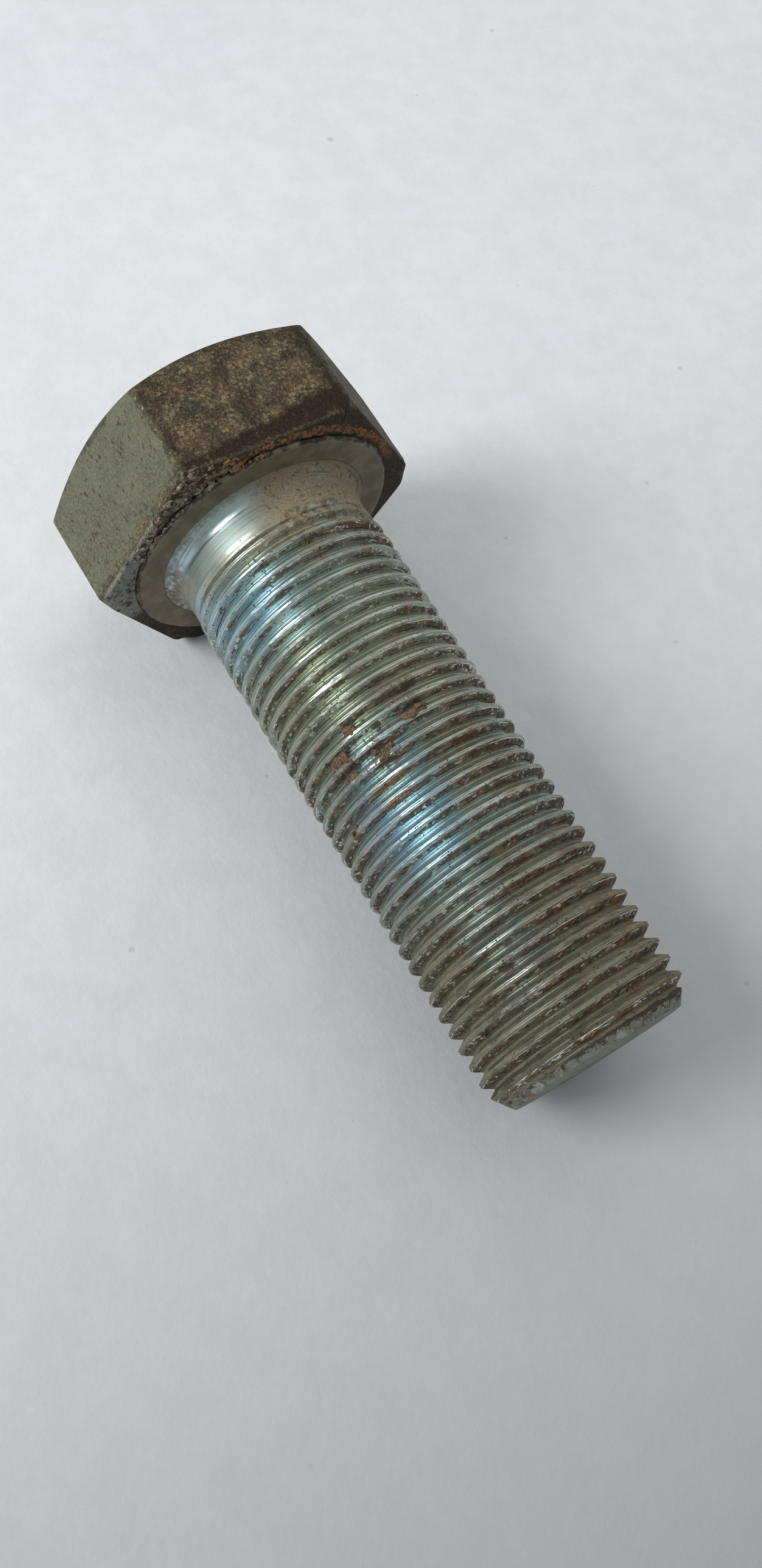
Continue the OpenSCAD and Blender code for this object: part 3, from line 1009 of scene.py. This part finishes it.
def head_material():
    n = Nodes("weathered_head")
    grain = n.noise(0.24, 6, 0.75, lift=2)
    mottle = n.plus(n.times(n.noise(2.2, 5, 0.62, lift=2), 0.6), n.times(grain, 0.4))
    ragged = n.noise(1.3, 5, 0.65, lift=3)
    zinc, specks = olive_zinc(n)
    earth, crevice = baked_earth(n, grain, mottle)
    color, share, top_flat = head_sides(n, zinc, earth, ragged)
    color, under = bearing_margin(n, color, grain, ragged, top_flat)

    grime = n.most(n.times(share, 0.85), n.most(n.times(specks, 0.7), n.times(under, 0.85)))
    metal = n.blend(grime, 0.6, 0.06)
    rough = n.plus(n.blend(grime, 0.46, 0.72), n.swing(0.22, 0.5, 5, 0.6))
    baked = n.times(share, n.plus(mottle, n.times(grain, 0.8)))
    height = n.plus(baked, n.times(n.noise(0.3, 5, 0.65), 0.3))
    height = n.minus(height, n.times(specks, 0.25))
    height = n.minus(height, n.times(share, crevice, 0.8))
    return n.finish(color, metal, rough, height, bump=0.9, height_mm=0.12, specular=0.25)


# --- materials of mud, crust and paper

def mud_material():
    n = Nodes("dried_mud")
    grain = n.noise(0.25, 6, 0.7)
    tint = n.layer((0.045, 0.028, 0.018), (0.205, 0.135, 0.08), n.step(grain, 0.36, 0.62))
    tint = n.layer(tint, BLACK_DIRT, n.patches(0.58, 0.68, 0.5, 4, lift=4), 0.7)
    rough = n.plus(0.82, n.times(n.noise(0.6, 3), 0.14))
    return n.finish(tint, 0, rough, grain, bump=0.8, height_mm=0.1)


def crust_material():
    n = Nodes("crust_of_zinc_and_earth")
    grain = n.noise(0.25, 6, 0.75)
    tint = n.layer((0.05, 0.038, 0.026), (0.25, 0.19, 0.12), n.step(grain, 0.36, 0.55))
    rust = n.times(n.facing(70, 38, 8), n.patches(0.38, 0.52, 1, 4, lift=2))
    tint = n.layer(tint, (0.34, 0.16, 0.06), rust, 0.85)
    silver = n.times(n.patches(0.53, 0.6, 0.6, 4, 0.65, lift=6), n.facing(150, 48, 12))
    tint = n.layer(tint, SILVER, silver, 0.8)
    tint = n.layer(tint, (0.03, 0.024, 0.019), n.patches(0.5, 0.58, 0.7, 4, lift=11), 0.85)
    rough = n.plus(0.62, n.times(grain, 0.25))
    return n.finish(tint, n.times(silver, 0.5), rough, grain, bump=0.8, height_mm=0.12)


def paper_material():
    n = Nodes("pale_paper")
    tint = n.layer((0.745, 0.75, 0.77), (0.775, 0.78, 0.795), n.patches(0.3, 0.7, 60, 3))
    # painted shade: the sheet is painted darker past the point of the bolt, where its light falls off
    tint = n.layer(tint, (0.305, 0.305, 0.31), n.step(n.x, -25, 172))
    tint = n.layer(tint, (0.3, 0.3, 0.31), n.patches(0.35, 0.65, 5, 6, 0.7, lift=5), 0.09)
    specks = n.dots(0.105, 0.085, 9, 0.12, 14, 2)
    tint = n.layer(tint, (0.35, 0.33, 0.32), specks, 0.35)
    return n.finish(tint, 0, 0.9, n.noise(1.1, 6, 0.62), bump=0.9, height_mm=0.09)


# --- assembly

def place(piece, node, slot, material):
    piece.data.materials.append(material)
    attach(piece, "root")
    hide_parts(node)
    return piece


thread = place(build_thread(), "threaded_shank", "thread_steel", thread_material())
place(build_point(), "chamfered_point", "thread_steel", point_material())
place(build_neck(), "neck", "neck_steel", neck_material())
place(build_washer(), "washer_face", "bearing_steel", washer_material())
place(build_head(), "hex_head", "head_steel", head_material())

for piece, material in ((build_mud(), mud_material()), (build_crust(), crust_material())):
    piece.data.materials.append(material)
    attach(piece, "root")


# --- stage

# The camera as fitted to the photo: place in metres, turns in degrees, lens in millimetres
CAMERA_PLACE = (0.07477, -0.05157, 0.14040)
CAMERA_TURNS = (23.068, -7.683, 58.754)
CAMERA_LENS = 32.25
SENSOR_WIDTH = 36


def lying_slope():
    """Slope of the surface that touches the head's lower flat at its bearing edge and the thread."""
    z_flat = cad_low[2] / MM
    verts = np.array([v.co for v in thread.data.vertices]) / MM
    return float(np.min((verts[:, 2] - z_flat) / (verts[:, 0] - UNDERSIDE)))


def build_floor():
    """The paper, a hair below the bolt that lies on it."""
    half_size, steps, gap = 3000, 24, 0.01
    line = np.linspace(-half_size, half_size, steps)
    xs, ys = np.meshgrid(line, line, indexing="ij")
    zs = cad_low[2] / MM + lying_slope() * (xs - UNDERSIDE) - gap
    points = np.stack([xs, ys, zs], axis=-1).reshape(-1, 3)
    faces = [(i * steps + j, (i + 1) * steps + j, (i + 1) * steps + j + 1, i * steps + j + 1)
             for i in range(steps - 1) for j in range(steps - 1)]
    floor = add_mesh("paper", points, faces)
    floor.data.materials.append(paper_material())


def add_camera():
    data = bpy.data.cameras.new("camera")
    data.sensor_width = SENSOR_WIDTH
    data.lens = CAMERA_LENS
    data.clip_start, data.clip_end = 0.005, 5
    camera = bpy.data.objects.new("camera", data)
    camera.location = CAMERA_PLACE
    camera.rotation_euler = [math.radians(a) for a in CAMERA_TURNS]
    bpy.context.scene.collection.objects.link(camera)
    bpy.context.scene.camera = camera


def add_area_light(name, target, towards, distance, size, power, color):
    """A square area light at a distance from the target in a direction, facing it. All in metres."""
    data = bpy.data.lights.new(name, "AREA")
    data.size = size
    data.energy = power
    data.color = color
    lamp = bpy.data.objects.new(name, data)
    way = Vector(towards).normalized()
    lamp.location = Vector(target) + way * distance
    lamp.rotation_mode = "QUATERNION"
    lamp.rotation_quaternion = (-way).to_track_quat("-Z", "Y")
    bpy.context.scene.collection.objects.link(lamp)


def add_lights():
    """A window above the head on the camera's side, a wide ceiling light and a pale room."""
    add_area_light("window", target=(0.03, 0, 0), towards=(-0.34, -0.80, 0.72), distance=0.50,
                   size=0.22, power=1.65, color=(0.96, 0.99, 1.0))
    add_area_light("ceiling", target=(-0.06, 0.05, -0.02), towards=(-0.16, 0.22, 0.37), distance=0.44,
                   size=0.60, power=0.95, color=(1.0, 0.99, 0.98))
    world = bpy.data.worlds.new("room")
    world.use_nodes = True
    background = world.node_tree.nodes["Background"]
    background.inputs["Color"].default_value = (0.93, 0.96, 1.0, 1)
    background.inputs["Strength"].default_value = 0.41
    bpy.context.scene.world = world


build_floor()
add_camera()
add_lights()
bpy.context.scene.view_settings.view_transform = "Standard"
